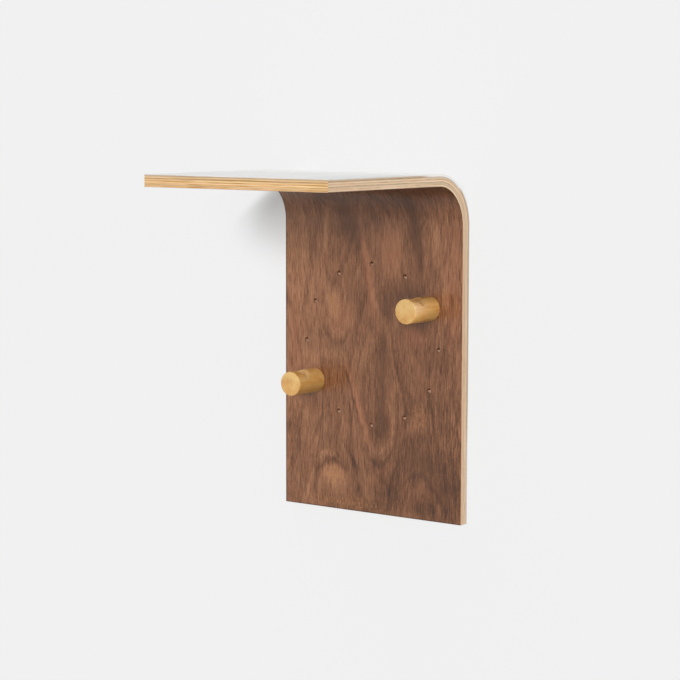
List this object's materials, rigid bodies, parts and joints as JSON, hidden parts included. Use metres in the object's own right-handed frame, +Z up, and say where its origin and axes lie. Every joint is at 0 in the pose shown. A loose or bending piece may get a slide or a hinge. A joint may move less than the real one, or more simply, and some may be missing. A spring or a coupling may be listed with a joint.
{
  "type": "wall shelf",
  "caption": "Wall shelf in bent, walnut-faced plywood: a flat shelf turns down through a large bend into a back panel, whose ring of small holes takes movable notched pegs.",
  "frame": {"origin": "point on the back face that lies against the wall, midway between the two keyhole slot ends where the wall screws carry the shelf", "axes": "+X to the right along the wall as seen by someone facing the shelf, +Y into the wall, +Z up"},
  "size_m": [0.22, 0.232, 0.35],
  "materials": {
    "white_laminate": "satin white high-pressure laminate",
    "ply_light": "clear-oiled light plywood ply, side grain",
    "ply_dark": "clear-oiled plywood ply, end grain",
    "walnut": "clear satin lacquer over crown-cut walnut",
    "peg_wood": "clear satin lacquer over light hardwood",
    "pin_steel": "ground steel dowel",
    "zinc_plate": "zinc plated",
    "screw_steel": "yellow zinc plated"
  },
  "bodies": {
    "panel": {"outer_laminate": "white_laminate", "core_ply_1": "ply_light", "core_ply_2": "ply_dark", "core_ply_3": "ply_light", "core_ply_4": "ply_dark", "core_ply_5": "ply_light", "core_ply_6": "ply_dark", "core_ply_7": "ply_light", "core_ply_8": "ply_dark", "core_ply_9": "ply_light", "walnut_veneer": "walnut", "left_hanger_plate": "zinc_plate", "right_hanger_plate": "zinc_plate", "left_hanger_screws": "screw_steel", "right_hanger_screws": "screw_steel"},
    "upper_pin": {"upper_peg_pin": "pin_steel"},
    "upper_peg": {"upper_peg": "peg_wood"},
    "lower_pin": {"lower_peg_pin": "pin_steel"},
    "lower_peg": {"lower_peg": "peg_wood"}
  },
  "joints": [
    {"name": "upper_peg_pull", "type": "slide", "parent": "panel", "child": "upper_pin", "axis": [0, -1, 0], "range_m": [0, 0.03]},
    {"name": "upper_peg_turn", "type": "hinge", "parent": "upper_pin", "child": "upper_peg", "pos_m": [0.07145, -0.0124, -0.06005], "axis": [0, -1, 0], "continuous": true},
    {"name": "lower_peg_pull", "type": "slide", "parent": "panel", "child": "lower_pin", "axis": [0, -1, 0], "range_m": [0, 0.03]},
    {"name": "lower_peg_turn", "type": "hinge", "parent": "lower_pin", "child": "lower_peg", "pos_m": [-0.07145, -0.0124, -0.14255], "axis": [0, -1, 0], "continuous": true}
  ]
}
